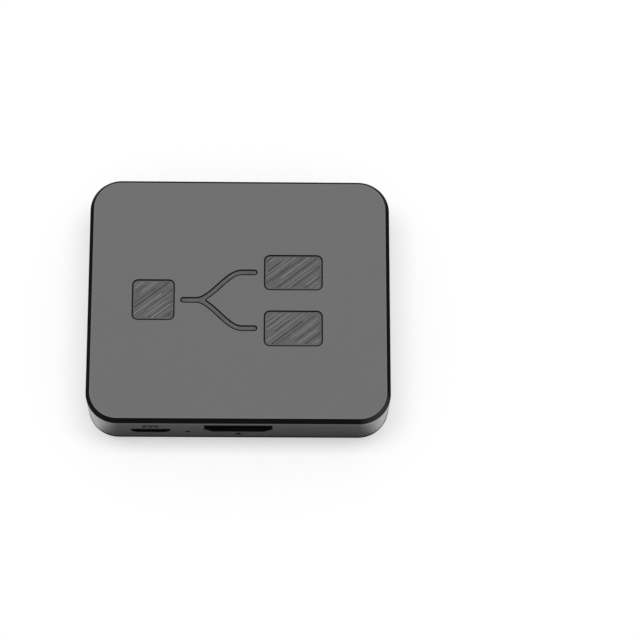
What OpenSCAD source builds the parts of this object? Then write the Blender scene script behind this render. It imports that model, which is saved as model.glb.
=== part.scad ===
// Video splitter box: one video input and a power socket at the front, two video outputs at the back.
// Millimetres. The origin is under the middle of the case, +Z is up and the front faces -Y.

/* [Case] */
// Width of the case from left to right
case_w = 67; // [60:0.5:90]
// Depth of the case from front to back
case_d = 56.5; // [50:0.5:80]
// Radius of the upright corners
corner_r = 7; // [5.5:0.1:9]
// Thickness of the side walls
wall_t = 1.6; // [1.2:0.1:2.4]
// Thickness of the floor
floor_t = 1.2; // [1:0.1:2]
// Thickness of the cover over the sockets
cover_t = 1.6; // [1.4:0.1:2.4]
// Height of the bevelled rim of the cover
bevel_h = 1.3; // [0.8:0.1:1.4]
// How far the bevel leans in from the wall
bevel_run = 0.85; // [0.4:0.05:1.5]
// Radius along the bottom edge
base_edge_r = 0.2; // [0.1:0.05:0.9]
// Depth of the lip that seats the cover in the walls
lip_h = 0.9; // [0.5:0.1:1]
// Gap between the lip and the walls
lip_gap = 0.1; // [0.05:0.05:0.2]
// Free height between the sockets and the cover
headroom = 1.1; // [0.6:0.1:4]

/* [Circuit board] */
// Thickness of the board
board_t = 1.6; // [1:0.1:2]
// Height of the board over the floor
board_lift = 1.55; // [1.1:0.05:2.5]
// Gap between the board and the walls
board_gap = 0.4; // [0.2:0.1:0.8]
// Gap between the board and what passes through it
board_hole_gap = 0.15; // [0.1:0.05:0.3]

/* [Screws] */
// Radius of the screw shanks
screw_r = 0.8; // [0.6:0.05:1]
// Length of the shanks under the head
screw_len = 7.5; // [6:0.1:8]
// Radius of the screw heads
head_r = 1.9; // [1.6:0.05:2]
// Height of the screw heads
head_h = 1.1; // [0.8:0.05:1.2]
// Depth of the heads below the underside
head_sink = 0.2; // [0.1:0.05:0.4]
// Gap around the heads and the shanks
screw_gap = 0.25; // [0.1:0.05:0.4]
// Radius of the posts and bosses that take the screws
post_r = 2.8; // [2.6:0.05:3]
// How far the thread bites into the boss
thread_bite = 0.05; // [0:0.01:0.1]

/* [Video sockets] */
// Inside width of the mouth
mouth_w = 14; // [13.9:0.05:14.3]
// Inside height of the mouth
mouth_h = 4.55; // [4.5:0.05:4.8]
// Size of the sloping lower corners of the mouth
mouth_cut = 1.9; // [1.5:0.05:2.1]
// Thickness of the sheet metal
shell_t = 0.3; // [0.2:0.05:0.4]
// Length of the metal shell
shell_len = 11.5; // [10.5:0.1:12.5]
// Height of the socket's axis over the board
socket_lift = 3.2; // [3.1:0.05:3.6]
// Gap between the shell and the case wall
socket_gap = 0.1; // [0.05:0.05:0.3]
// Distance of the outputs' axes from the sides of the case
output_inset = 18; // [17.5:0.1:20]
// Width of the tongue
tongue_w = 11.2; // [10.6:0.1:12]
// Thickness of the tongue
tongue_t = 1.2; // [1:0.05:1.5]
// How far the tongue stays behind the mouth
tongue_back = 1; // [0.7:0.1:1.5]
// Depth of the free space around the tongue
mouth_depth = 7; // [6.5:0.1:7.5]
// Gap between the insulator and the shell
insulator_gap = 0.05; // [0.02:0.01:0.1]
// Distance between neighbours in one row of contacts
contact_pitch = 1; // [0.95:0.01:1.05]
// Width of a contact
contact_w = 0.3; // [0.2:0.02:0.4]
// Thickness of a contact
contact_t = 0.15; // [0.1:0.01:0.2]
// How far a contact stands out of the tongue
contact_proud = 0.05; // [0.02:0.01:0.08]
// Width of the legs that go through the board
leg_w = 1.4; // [1:0.1:1.8]
// How far the legs come out below the board
leg_out = 0.6; // [0.3:0.1:0.8]
// Room beside the mouth in the case wall
video_side_room = 0.5; // [0.2:0.05:0.7]
// Room over and under the mouth in the case wall
video_top_room = 0.25; // [0.1:0.05:0.3]
// Extra room at the sloping corners in the case wall
video_corner_room = 0.3; // [0:0.05:0.5]

/* [Power socket] */
// Inside width of the mouth
power_w = 7; // [6.9:0.05:7.2]
// Inside height of the mouth
power_h = 1.9; // [1.85:0.05:2.1]
// Size of the sloping lower corners
power_cut = 0.8; // [0.6:0.05:1]
// Thickness of the sheet metal
power_t = 0.25; // [0.2:0.05:0.3]
// Length of the shell
power_len = 5.4; // [5:0.1:6]
// Height of the axis over the board
power_lift = 1.3; // [1.25:0.05:1.6]
// Distance of the axis from the left side of the case
power_inset = 14.2; // [13.8:0.1:16]
// How far the mouth lies behind the outside of the wall
power_back = 0.9; // [0.5:0.1:1.2]
// Room beside the shell in the case wall
power_side_room = 0.55; // [0.3:0.05:0.7]
// Room over and under the shell in the case wall
power_top_room = 0.15; // [0.1:0.05:0.5]

/* [Power light] */
// Radius of the hole in the wall
light_r = 0.5; // [0.3:0.05:0.7]
// Distance of the light's axis from the left side of the case
light_inset = 22.3; // [21.8:0.1:23]
// Height of the light's axis over the board
light_lift = 0.65; // [0.4:0.05:0.7]
// Width of the light's body
light_w = 1.6; // [1.2:0.1:2]
// Gap between the lens and the wall
light_gap = 0.1; // [0.05:0.05:0.4]

/* [Components] */
// Width of the splitter chip
chip_w = 10; // [7:0.5:12]
// Height of the splitter chip
chip_h = 1.4; // [1:0.1:1.6]
// Leads along each side of the splitter chip
chip_leads = 16; // [8:1:18]
// Width of the memory chip
memory_w = 4.9; // [4.6:0.1:6]
// Depth of the memory chip between its leads
memory_d = 3.9; // [3.4:0.1:4.4]
// Height of the memory chip
memory_h = 1.4; // [1:0.1:1.6]
// Width of the voltage regulator
regulator_w = 6.5; // [6:0.1:7]
// Depth of the voltage regulator between its leads
regulator_d = 3.5; // [3.2:0.1:3.8]
// Height of the voltage regulator
regulator_h = 1.5; // [1.3:0.1:1.8]
// Width of the power inductor
inductor_w = 4; // [3:0.1:5]
// Height of the power inductor
inductor_h = 2; // [1.5:0.1:3]
// Radius of the bulk capacitor
bulk_r = 2; // [1.5:0.05:2.5]
// Height of the bulk capacitor
bulk_h = 4.4; // [3:0.1:5]
// Width of the clock crystal
crystal_w = 5; // [3.2:0.1:6]
// Depth of the clock crystal
crystal_d = 3.2; // [2.5:0.1:4]
// Length of the small capacitors
capacitor_l = 1.6; // [1:0.1:2]
// Length of the small resistors
resistor_l = 1; // [0.8:0.1:1.6]

/* [Hidden] */
$fn = 48;
eps = 0.01;
board_z = floor_t + board_lift;
board_top = board_z + board_t;
video_z = board_top + socket_lift;
power_z = board_top + power_lift;
light_z = board_top + light_lift;
cover_z = video_z + mouth_h / 2 + shell_t + headroom;
case_h = cover_z + cover_t;
part_z = case_h - bevel_h;
lip_z = part_z - lip_h;
rim_t = wall_t / 2;
screw_x = case_w / 2 - corner_r;
screw_y = case_d / 2 - corner_r;
head_top = head_sink + head_h;
board_w = case_w - 2 * (wall_t + board_gap);
board_d = case_d - 2 * (wall_t + board_gap);
output_x = case_w / 2 - output_inset;
power_x = power_inset - case_w / 2;
light_x = light_inset - case_w / 2;
socket_y = case_d / 2 - wall_t - socket_gap;
power_y = power_back - case_d / 2;
light_y = wall_t + light_gap - case_d / 2;
port_r = 0.35;
power_port_r = 0.3;
slot_w = 0.5;
pilot_room = 0.3;
rear_t = 1.2;
rear_y = shell_len + rear_t;
rear_inset = 1;
foot_l = 0.8;
foot_inset = 0.3;
socket_end = socket_y - rear_y - foot_l - contact_t;
legs_y = [2.6, 8.6];
leg_root = 0.4;
fold_r = 0.25;
finger_x = 3.4;
finger_y = 2.2;
finger_w = 2.4;
finger_l = 4.6;
finger_gap = 0.35;
tongue_half = tongue_t / 2;
tongue_nose = 0.3;
contact_back = tongue_back + 0.5;
upper_contacts = 10;
lower_contacts = 9;
power_legs_y = [1.7, 4.2];
power_leg_w = 0.9;
power_leg_root = 0.3;
power_fold_r = 0.2;
power_body_y = 3.4;
power_rear_w = 5.2;
power_rear_t = 0.6;
power_contacts_n = 5;
power_pitch = 0.65;
power_tongue_w = 3.8;
power_tongue_t = 0.6;
power_tongue_low = 0.05;
power_tongue_back = 0.8;
power_contact_back = power_tongue_back + 0.3;
catch_x = 1.7;
catch_y = 1.6;
catch_w = 1;
catch_l = 1.4;
light_t = 0.5;
lens_l = 0.6;
capacitor_w = capacitor_l / 2;
resistor_w = resistor_l / 2;
resistor_t = resistor_w * 0.7;
lead_t = 0.15;
lead_w = 0.22;
lead_pitch = (chip_w - 2) / (chip_leads - 1);
lead_reach = 1;
dot_r = 0.5;
dot_inset = 1.1;
dot_depth = 0.1;
memory_pitch = 1.27;
memory_lead_w = 0.4;
memory_dot_r = 0.35;
memory_dot_inset = 0.8;
regulator_pitch = 2.3;
regulator_lead_w = 0.7;
regulator_tab_w = 3;
regulator_reach = 1.7;
groove_r = inductor_w * 0.43;
groove_w = 0.28;
groove_depth = 0.2;
bulk_base_h = 1;
bulk_base_margin = 0.15;
bulk_base_corner = 1;
bulk_bead_z = 0.7;
bulk_bead = 0.2;
bulk_crown = 0.25;
crystal_base_h = 0.6;
crystal_lid_h = 0.5;
crystal_lid_inset = 0.25;
stand = 0.1;
chip_y = 0;
ring = chip_w / 2 + 2.6;
memory_x = power_x + 2.3;
memory_y = 5;
regulator_x = power_x - 0.5;
regulator_y = -11.5;
inductor_x = power_x - 0.5;
inductor_y = -4;
bulk_x = 6 - case_w / 2;
bulk_y = -7;
crystal_x = chip_w / 2 + 8;
crystal_y = -2;

// Shapes shared by the pieces

function unit(v) = v / norm(v);

// The arc that rounds corner p between the points a and b
function corner_arc(a, p, b, r) =
    let (u = unit(a - p), v = unit(b - p), half = acos(u * v) / 2)
    let (c = p + unit(u + v) * r / sin(half), first = p + u * r / tan(half) - c)
    let (start = atan2(first.y, first.x), turn = -sign(cross(u, v)) * (180 - 2 * half))
    [for (i = [0:4]) c + r * [cos(start + turn * i / 4), sin(start + turn * i / 4)]];

function rounded(points, r) =
    let (n = len(points))
    [for (i = [0:n - 1]) each corner_arc(points[(i + n - 1) % n], points[i], points[(i + 1) % n], r)];

// A socket's outline: wide at the top, with sloping lower corners
function socket_outline(w, h, cut) = [
    [w / 2, h / 2], [-w / 2, h / 2], [-w / 2, cut - h / 2],
    [cut - w / 2, -h / 2], [w / 2 - cut, -h / 2], [w / 2, cut - h / 2]
];

function grown_outline(w, h, cut, gx, gz) =
    socket_outline(w + 2 * gx, h + 2 * gz, cut + 0.3 * (gx + gz));

// Half of an edge's section, mirrored to the whole width of the piece
function whole_section(points, half, r) =
    let (n = len(points))
    concat([for (p = points) [half - r + p.x, p.y]],
        [for (i = [n - 1:-1:0]) [r - half - points[i].x, points[i].y]]);

// A block with round upright corners and the given edge section, measured from the corner's axis
module rounded_block(w, d, r, points) {
    rotate([90, 0, 90])
        translate([0, 0, r - w / 2])
            linear_extrude(w - 2 * r)
                polygon(whole_section(points, d / 2, r));
    rotate([90, 0, 0])
        translate([0, 0, r - d / 2])
            linear_extrude(d - 2 * r)
                polygon(whole_section(points, w / 2, r));
    for (i = [0:3]) {
        x = (i == 0 || i == 3) ? w / 2 - r : r - w / 2;
        y = i < 2 ? d / 2 - r : r - d / 2;
        translate([x, y, 0])
            rotate([0, 0, 90 * i])
                rotate_extrude(angle = 90)
                    polygon(points);
    }
}

// The same block with straight sides, inset from the case's outline
module inset_block(inset, z0, z1) {
    r = corner_r - inset;
    rounded_block(case_w - 2 * inset, case_d - 2 * inset, r, [[0, z0], [r, z0], [r, z1], [0, z1]]);
}

// Copies the children to the four screw axes
module at_screws() {
    for (x = [-screw_x, screw_x], y = [-screw_y, screw_y])
        translate([x, y, 0])
            children();
}

// A socket's own frame: its mouth at y = 0, its axis at z = 0, +Y into the case
module at_input() {
    translate([0, -socket_y, video_z])
        children();
}

module at_output(side) {
    translate([side * output_x, socket_y, video_z])
        rotate([0, 0, 180])
            children();
}

module at_power() {
    translate([power_x, power_y, power_z])
        children();
}

// An outline across X and Z, drawn out along +Y
module along_y(y0, y1) {
    translate([0, y1, 0])
        rotate([90, 0, 0])
            linear_extrude(y1 - y0)
                children();
}

// An outline across Y and Z, drawn out along X about the middle
module across_x(w) {
    rotate([90, 0, 90])
        translate([0, 0, -w / 2])
            linear_extrude(w)
                children();
}

// Case

module video_port() {
    cut = mouth_cut - video_corner_room;
    r = grown_outline(mouth_w, mouth_h, cut, video_side_room, video_top_room);
    along_y(-wall_t - socket_gap - 1, 0)
        polygon(rounded(r, port_r));
}

module power_port() {
    room = power_t + power_side_room;
    r = grown_outline(power_w, power_h, power_cut, room, power_t + power_top_room);
    along_y(-power_back - 1, wall_t - power_back + 1)
        polygon(rounded(r, power_port_r));
}

module bottom_case() {
    f = base_edge_r;
    arc = [for (i = [0:5]) [corner_r - f + f * sin(18 * i), f - f * cos(18 * i)]];
    outer = concat([[0, 0]], arc, [[corner_r, part_z], [0, part_z]]);
    color([0.05, 0.05, 0.055])
    difference() {
        union() {
            difference() {
                rounded_block(case_w, case_d, corner_r, outer);
                inset_block(wall_t, floor_t, part_z + 1);
                inset_block(rim_t, lip_z - lip_gap, part_z + 1);
            }
            at_screws()
                translate([0, 0, floor_t - eps])
                    cylinder(r = post_r, h = board_lift + eps);
        }
        at_screws() {
            translate([0, 0, -1])
                cylinder(r = head_r + screw_gap, h = head_top + 1);
            translate([0, 0, -1])
                cylinder(r = screw_r + screw_gap, h = board_z + 2);
        }
        at_input()
            video_port();
        for (side = [-1, 1])
            at_output(side)
                video_port();
        at_power()
            power_port();
        translate([light_x, -case_d / 2 - 1, light_z])
            rotate([-90, 0, 0])
                cylinder(r = light_r, h = wall_t + 2);
    }
}

module top_cover() {
    bevel = [[0, part_z], [corner_r, part_z], [corner_r - bevel_run, case_h], [0, case_h]];
    pilot = head_top + screw_len + pilot_room;
    color([0.15, 0.15, 0.15])
    difference() {
        union() {
            rounded_block(case_w, case_d, corner_r, bevel);
            difference() {
                inset_block(rim_t + lip_gap, lip_z, part_z + eps);
                inset_block(wall_t, lip_z - 1, cover_z);
            }
            at_screws()
                translate([0, 0, board_top])
                    cylinder(r = post_r, h = cover_z - board_top + eps);
        }
        at_screws()
            translate([0, 0, board_top - 1])
                cylinder(r = screw_r - thread_bite, h = pilot - board_top + 1);
    }
}

module case_screws() {
    color([0.2, 0.2, 0.21])
    at_screws()
        difference() {
            union() {
                translate([0, 0, head_sink])
                    cylinder(r = head_r, h = head_h);
                translate([0, 0, head_top - eps])
                    cylinder(r = screw_r - thread_bite, h = screw_len + eps);
            }
            for (a = [0, 90])
                rotate([0, 0, a])
                    translate([-head_r * 0.6, -slot_w / 2, head_sink - 1])
                        cube([head_r * 1.2, slot_w, 1 + head_h * 0.6]);
        }
}

// Circuit board

module leg_holes(w, legs, t, leg) {
    for (side = [-1, 1], y = legs)
        translate([side * (w / 2 + t / 2), y, 0])
            cube([t + 2 * board_hole_gap, leg + 2 * board_hole_gap, 40], center = true);
}

module circuit_board() {
    r = corner_r - wall_t - board_gap;
    color([0.05, 0.25, 0.12])
    difference() {
        rounded_block(board_w, board_d, r, [[0, board_z], [r, board_z], [r, board_top], [0, board_top]]);
        at_screws()
            translate([0, 0, board_z - 1])
                cylinder(r = screw_r + screw_gap, h = board_t + 2);
        at_input()
            leg_holes(mouth_w, legs_y, shell_t, leg_w);
        for (side = [-1, 1])
            at_output(side)
                leg_holes(mouth_w, legs_y, shell_t, leg_w);
        at_power()
            leg_holes(power_w, power_legs_y, power_t, power_leg_w);
    }
}

// Video sockets

// The slot that frees a spring finger in a flat side of the shell
module finger_slot() {
    difference() {
        translate([-finger_w / 2, 0, 0])
            cube([finger_w, finger_l, shell_t * 4]);
        translate([finger_gap - finger_w / 2, finger_gap, -1])
            cube([finger_w - 2 * finger_gap, finger_l, shell_t * 4 + 2]);
    }
}

module socket_shell() {
    inner = socket_outline(mouth_w, mouth_h, mouth_cut);
    outer = grown_outline(mouth_w, mouth_h, mouth_cut, shell_t, shell_t);
    leg_top = mouth_cut - mouth_h / 2 + leg_root;
    leg_end = -socket_lift - board_t - leg_out;
    difference() {
        union() {
            along_y(0, shell_len)
                polygon(rounded(outer, fold_r + shell_t));
            for (side = [0, 1], y = legs_y)
                mirror([side, 0, 0])
                    translate([mouth_w / 2, y - leg_w / 2, leg_end])
                        cube([shell_t, leg_w, leg_top - leg_end]);
        }
        along_y(-1, shell_len + 1)
            polygon(rounded(inner, fold_r));
        for (x = [-finger_x, finger_x], up = [0, 1])
            mirror([0, 0, up])
                translate([x, finger_y, mouth_h / 2 - shell_t])
                    finger_slot();
    }
}

// A contact: along the tongue between z0 and z1, down behind the socket, and out on the board
module contact(y0, back, z0, z1, foot_z, foot) {
    across_x(contact_w)
        polygon([
            [y0, z1], [back + contact_t, z1], [back + contact_t, foot_z + contact_t],
            [back + foot, foot_z + contact_t], [back + foot, foot_z], [back, foot_z],
            [back, z0], [y0, z0]
        ]);
}

// Copies the children to the contacts of one row
module in_row(count, pitch) {
    for (i = [0:count - 1])
        translate([(i - (count - 1) / 2) * pitch, 0, 0])
            children();
}

module socket_contacts() {
    low = tongue_half + contact_proud - contact_t;
    high = tongue_half + contact_proud;
    in_row(upper_contacts, contact_pitch)
        contact(contact_back, rear_y, low, high, -socket_lift, foot_l + contact_t);
    in_row(lower_contacts, contact_pitch)
        contact(contact_back, rear_y, -high, -low, -socket_lift, foot_l + contact_t);
}

module socket_insulator() {
    fit = grown_outline(mouth_w, mouth_h, mouth_cut, -insulator_gap, -insulator_gap);
    low = tongue_half + contact_proud - contact_t;
    tip = tongue_back;
    nose = tongue_nose;
    foot_w = mouth_w - 2 * (mouth_cut + foot_inset);
    foot_top = -mouth_h / 2 - shell_t - insulator_gap;
    difference() {
        union() {
            along_y(mouth_depth, shell_len + eps)
                polygon(rounded(fit, fold_r));
            across_x(tongue_w)
                polygon([
                    [tip, nose - tongue_half], [tip + nose, -tongue_half], [mouth_depth + 1, -tongue_half],
                    [mouth_depth + 1, tongue_half], [tip + nose, tongue_half], [tip, tongue_half - nose]
                ]);
            translate([rear_inset - mouth_w / 2, shell_len, -socket_lift])
                cube([mouth_w - 2 * rear_inset, rear_t, socket_lift + mouth_h / 2 - insulator_gap]);
            translate([-foot_w / 2, mouth_depth + 1, -socket_lift])
                cube([foot_w, rear_y - mouth_depth - 1, socket_lift + foot_top]);
        }
        in_row(upper_contacts, contact_pitch)
            translate([-contact_w / 2, contact_back, low])
                cube([contact_w, rear_y, contact_t]);
        in_row(lower_contacts, contact_pitch)
            translate([-contact_w / 2, contact_back, -low - contact_t])
                cube([contact_w, rear_y, contact_t]);
    }
}

module input_shell() {
    color([0.7, 0.7, 0.72])
    at_input()
        socket_shell();
}

module input_insulator() {
    color([0.08, 0.08, 0.08])
    at_input()
        socket_insulator();
}

module input_contacts() {
    color([0.85, 0.65, 0.25])
    at_input()
        socket_contacts();
}

module output_1_shell() {
    color([0.7, 0.7, 0.72])
    at_output(1)
        socket_shell();
}

module output_1_insulator() {
    color([0.08, 0.08, 0.08])
    at_output(1)
        socket_insulator();
}

module output_1_contacts() {
    color([0.85, 0.65, 0.25])
    at_output(1)
        socket_contacts();
}

module output_2_shell() {
    color([0.7, 0.7, 0.72])
    at_output(-1)
        socket_shell();
}

module output_2_insulator() {
    color([0.08, 0.08, 0.08])
    at_output(-1)
        socket_insulator();
}

module output_2_contacts() {
    color([0.85, 0.65, 0.25])
    at_output(-1)
        socket_contacts();
}

// Power socket

module power_shell() {
    inner = socket_outline(power_w, power_h, power_cut);
    outer = grown_outline(power_w, power_h, power_cut, power_t, power_t);
    leg_top = power_cut - power_h / 2 + power_leg_root;
    leg_end = -power_lift - board_t - leg_out;
    color([0.7, 0.7, 0.72])
    at_power()
        difference() {
            union() {
                along_y(0, power_len)
                    polygon(rounded(outer, power_fold_r + power_t));
                for (side = [0, 1], y = power_legs_y)
                    mirror([side, 0, 0])
                        translate([power_w / 2, y - power_leg_w / 2, leg_end])
                            cube([power_t, power_leg_w, leg_top - leg_end]);
            }
            along_y(-1, power_len + 1)
                polygon(rounded(inner, power_fold_r));
            for (x = [-catch_x, catch_x])
                translate([x - catch_w / 2, catch_y, power_h / 2 - power_t])
                    cube([catch_w, catch_l, 3 * power_t]);
        }
}

// The tongue lies over the middle and carries the contacts on its lower face
module power_contacts() {
    low = power_tongue_low - contact_proud;
    back = power_len + power_rear_t;
    color([0.85, 0.65, 0.25])
    at_power()
        in_row(power_contacts_n, power_pitch)
            contact(power_contact_back, back, low, low + contact_t, -power_lift, power_rear_t);
}

module power_insulator() {
    fit = grown_outline(power_w, power_h, power_cut, -insulator_gap, -insulator_gap);
    low = power_tongue_low - contact_proud;
    color([0.08, 0.08, 0.08])
    at_power()
        difference() {
            union() {
                along_y(power_body_y, power_len + eps)
                    polygon(rounded(fit, power_fold_r));
                translate([-power_tongue_w / 2, power_tongue_back, power_tongue_low])
                    cube([power_tongue_w, power_len - power_tongue_back, power_tongue_t]);
                translate([-power_rear_w / 2, power_len, -power_lift])
                    cube([power_rear_w, power_rear_t, power_lift + power_h / 2 - insulator_gap]);
            }
            in_row(power_contacts_n, power_pitch)
                translate([-contact_w / 2, power_contact_back, low])
                    cube([contact_w, power_len, contact_t]);
        }
}

// Components on the board

// A gull-wing lead: out of a body's side at height z, down and out on the board, +X outwards
module gull_lead(w, z, reach) {
    knee = reach * 0.45;
    rotate([90, 0, 0])
        translate([0, 0, -w / 2])
            linear_extrude(w)
                polygon([
                    [0, z], [knee - lead_t, z], [knee, 0], [reach, 0],
                    [reach, lead_t], [knee + lead_t * 0.8, lead_t], [knee, z + lead_t], [0, z + lead_t]
                ]);
}

module on_board(x, y) {
    translate([x, y, board_top])
        children();
}

module splitter_chip() {
    color([0.09, 0.09, 0.09])
    on_board(0, chip_y)
        difference() {
            translate([-chip_w / 2, -chip_w / 2, stand])
                cube([chip_w, chip_w, chip_h]);
            translate([dot_inset - chip_w / 2, dot_inset - chip_w / 2, stand + chip_h - dot_depth])
                cylinder(r = dot_r, h = 1);
        }
}

module splitter_chip_leads() {
    color([0.75, 0.75, 0.76])
    on_board(0, chip_y)
        for (a = [0:90:270], i = [0:chip_leads - 1])
            rotate([0, 0, a])
                translate([chip_w / 2, (i - (chip_leads - 1) / 2) * lead_pitch, 0])
                    gull_lead(lead_w, stand + chip_h / 2 - lead_t, lead_reach);
}

module memory_chip() {
    dot = [memory_dot_inset - memory_w / 2, memory_dot_inset - memory_d / 2, stand + memory_h - dot_depth];
    color([0.09, 0.09, 0.09])
    on_board(memory_x, memory_y)
        difference() {
            translate([-memory_w / 2, -memory_d / 2, stand])
                cube([memory_w, memory_d, memory_h]);
            translate(dot)
                cylinder(r = memory_dot_r, h = 1);
        }
}

module memory_chip_leads() {
    color([0.75, 0.75, 0.76])
    on_board(memory_x, memory_y)
        for (a = [90, 270], i = [-1.5:1.5])
            rotate([0, 0, a])
                translate([memory_d / 2, i * memory_pitch, 0])
                    gull_lead(memory_lead_w, stand + memory_h / 2 - lead_t, lead_reach);
}

module voltage_regulator() {
    color([0.09, 0.09, 0.09])
    on_board(regulator_x, regulator_y)
        translate([-regulator_w / 2, -regulator_d / 2, stand])
            cube([regulator_w, regulator_d, regulator_h]);
}

module voltage_regulator_leads() {
    color([0.75, 0.75, 0.76])
    on_board(regulator_x, regulator_y) {
        for (i = [-1:1])
            rotate([0, 0, 270])
                translate([regulator_d / 2, i * regulator_pitch, 0])
                    gull_lead(regulator_lead_w, stand + regulator_h / 2 - lead_t, regulator_reach);
        rotate([0, 0, 90])
            translate([regulator_d / 2, 0, 0])
                gull_lead(regulator_tab_w, stand + regulator_h / 2 - lead_t, regulator_reach);
    }
}

module power_inductor() {
    color([0.22, 0.22, 0.23])
    on_board(inductor_x, inductor_y)
        difference() {
            translate([-inductor_w / 2, -inductor_w / 2, 0])
                cube([inductor_w, inductor_w, inductor_h]);
            translate([0, 0, inductor_h - groove_depth])
                difference() {
                    cylinder(r = groove_r, h = 1);
                    translate([0, 0, -1])
                        cylinder(r = groove_r - groove_w, h = 3);
                }
        }
}

module bulk_capacitor_base() {
    w = bulk_r + bulk_base_margin;
    k = w - bulk_base_corner;
    color([0.1, 0.1, 0.1])
    on_board(bulk_x, bulk_y)
        linear_extrude(bulk_base_h)
            polygon([[-w, -w], [k, -w], [w, -k], [w, k], [k, w], [-w, w]]);
}

module bulk_capacitor_can() {
    foot = bulk_base_h;
    bead = foot + bulk_bead_z;
    top = foot + bulk_h;
    color([0.75, 0.76, 0.78])
    on_board(bulk_x, bulk_y)
        rotate_extrude()
            polygon([
                [0, foot], [bulk_r, foot], [bulk_r, bead], [bulk_r - bulk_bead, bead + bulk_bead],
                [bulk_r, bead + 2 * bulk_bead], [bulk_r, top - bulk_crown],
                [bulk_r - bulk_crown, top], [0, top]
            ]);
}

module clock_crystal() {
    e = crystal_lid_inset;
    color([0.78, 0.78, 0.76])
    on_board(crystal_x, crystal_y)
        union() {
            translate([-crystal_w / 2, -crystal_d / 2, 0])
                cube([crystal_w, crystal_d, crystal_base_h]);
            translate([e - crystal_w / 2, e - crystal_d / 2, crystal_base_h - eps])
                cube([crystal_w - 2 * e, crystal_d - 2 * e, crystal_lid_h + eps]);
        }
}

module power_light() {
    color([0.85, 0.85, 0.82])
    translate([light_x - light_w / 2, light_y + lens_l, board_top])
        cube([light_w, light_t, 2 * light_lift]);
}

module power_light_lens() {
    color([0.75, 0.8, 0.85])
    translate([light_x, light_y, light_z])
        rotate([-90, 0, 0])
            cylinder(r1 = light_lift * 0.75, r2 = light_lift * 0.9, h = lens_l);
}

// The small parts: [x, y, turn]
capacitor_at = [
    for (s = [-1, 1], t = [-3.2, 3.2]) [s * ring, t, 90],
    for (s = [-1, 1], t = [-3.2, 3.2]) [t, s * ring, 0],
    for (t = [-3.2, 0, 3.2]) [power_x + t - 0.5, regulator_y - 5.4, 90],
    for (t = [0, 2.2, 4.4]) [memory_x + 5, memory_y + t - 2.2, 0],
    for (s = [-1, 1]) [crystal_x + s * 1.6, crystal_y - 3, 90]
];
resistor_at = [
    for (t = [-4.8:1.6:4.9]) [t, -socket_end + 1.2, 90],
    for (s = [-1, 1], t = [-4.8:1.6:4.9]) [s * output_x + t, socket_end - 1.2, 90],
    [light_x, 3.2 - board_d / 2, 90]
];

module at_each(places) {
    for (p = places)
        on_board(p[0], p[1])
            rotate([0, 0, p[2]])
                children();
}

// A chip part's middle, l long between its ends of 0.2 l each
module chip_body(l, w, t) {
    translate([-0.3 * l, -w / 2, 0])
        cube([0.6 * l, w, t]);
}

module chip_ends(l, w, t) {
    for (side = [0, 1])
        mirror([side, 0, 0])
            translate([0.3 * l, -w / 2, 0])
                cube([0.2 * l, w, t]);
}

module ceramic_capacitors() {
    color([0.55, 0.42, 0.3])
    at_each(capacitor_at)
        chip_body(capacitor_l, capacitor_w, capacitor_w);
}

module chip_resistors() {
    color([0.08, 0.08, 0.09])
    at_each(resistor_at)
        chip_body(resistor_l, resistor_w, resistor_t);
}

module component_end_caps() {
    color([0.75, 0.75, 0.76])
    union() {
        at_each(capacitor_at)
            chip_ends(capacitor_l, capacitor_w, capacitor_w);
        at_each(resistor_at)
            chip_ends(resistor_l, resistor_w, resistor_t);
    }
}

top_cover();
bottom_case();
case_screws();
circuit_board();
input_shell();
input_insulator();
input_contacts();
output_1_shell();
output_1_insulator();
output_1_contacts();
output_2_shell();
output_2_insulator();
output_2_contacts();
power_shell();
power_insulator();
power_contacts();
splitter_chip();
splitter_chip_leads();
memory_chip();
memory_chip_leads();
voltage_regulator();
voltage_regulator_leads();
power_inductor();
bulk_capacitor_can();
bulk_capacitor_base();
clock_crystal();
power_light();
power_light_lens();
ceramic_capacitors();
chip_resistors();
component_end_caps();
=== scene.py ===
import math

import bmesh
import bpy
import numpy as np
from mathutils import Matrix, Vector
from mathutils.geometry import delaunay_2d_cdt


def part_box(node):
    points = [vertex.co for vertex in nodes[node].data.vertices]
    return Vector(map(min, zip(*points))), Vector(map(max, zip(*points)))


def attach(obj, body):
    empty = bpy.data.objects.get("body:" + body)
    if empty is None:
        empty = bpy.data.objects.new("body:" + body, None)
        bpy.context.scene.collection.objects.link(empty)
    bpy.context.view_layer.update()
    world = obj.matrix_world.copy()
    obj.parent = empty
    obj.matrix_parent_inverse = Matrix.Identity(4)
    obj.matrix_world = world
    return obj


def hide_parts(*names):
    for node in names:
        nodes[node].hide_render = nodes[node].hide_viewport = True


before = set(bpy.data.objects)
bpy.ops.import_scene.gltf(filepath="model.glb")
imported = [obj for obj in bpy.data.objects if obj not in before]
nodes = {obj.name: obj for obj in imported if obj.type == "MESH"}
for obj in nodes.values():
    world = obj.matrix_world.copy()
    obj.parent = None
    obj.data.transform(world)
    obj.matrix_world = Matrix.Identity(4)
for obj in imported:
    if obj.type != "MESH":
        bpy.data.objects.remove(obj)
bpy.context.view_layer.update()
mm = 0.001
print("frame loaded:", len(nodes), "nodes")


# Where the CAD pieces are: everything below is worked out from these boxes
caseLow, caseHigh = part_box("bottom_case")
coverLow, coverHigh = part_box("top_cover")
inputLow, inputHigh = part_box("input_shell")
outputLow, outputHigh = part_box("output_1_shell")
powerLow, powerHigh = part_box("power_shell")
lensLow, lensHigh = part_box("power_light_lens")
screwLow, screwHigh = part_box("case_screws")
boardLow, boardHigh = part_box("circuit_board")

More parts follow.
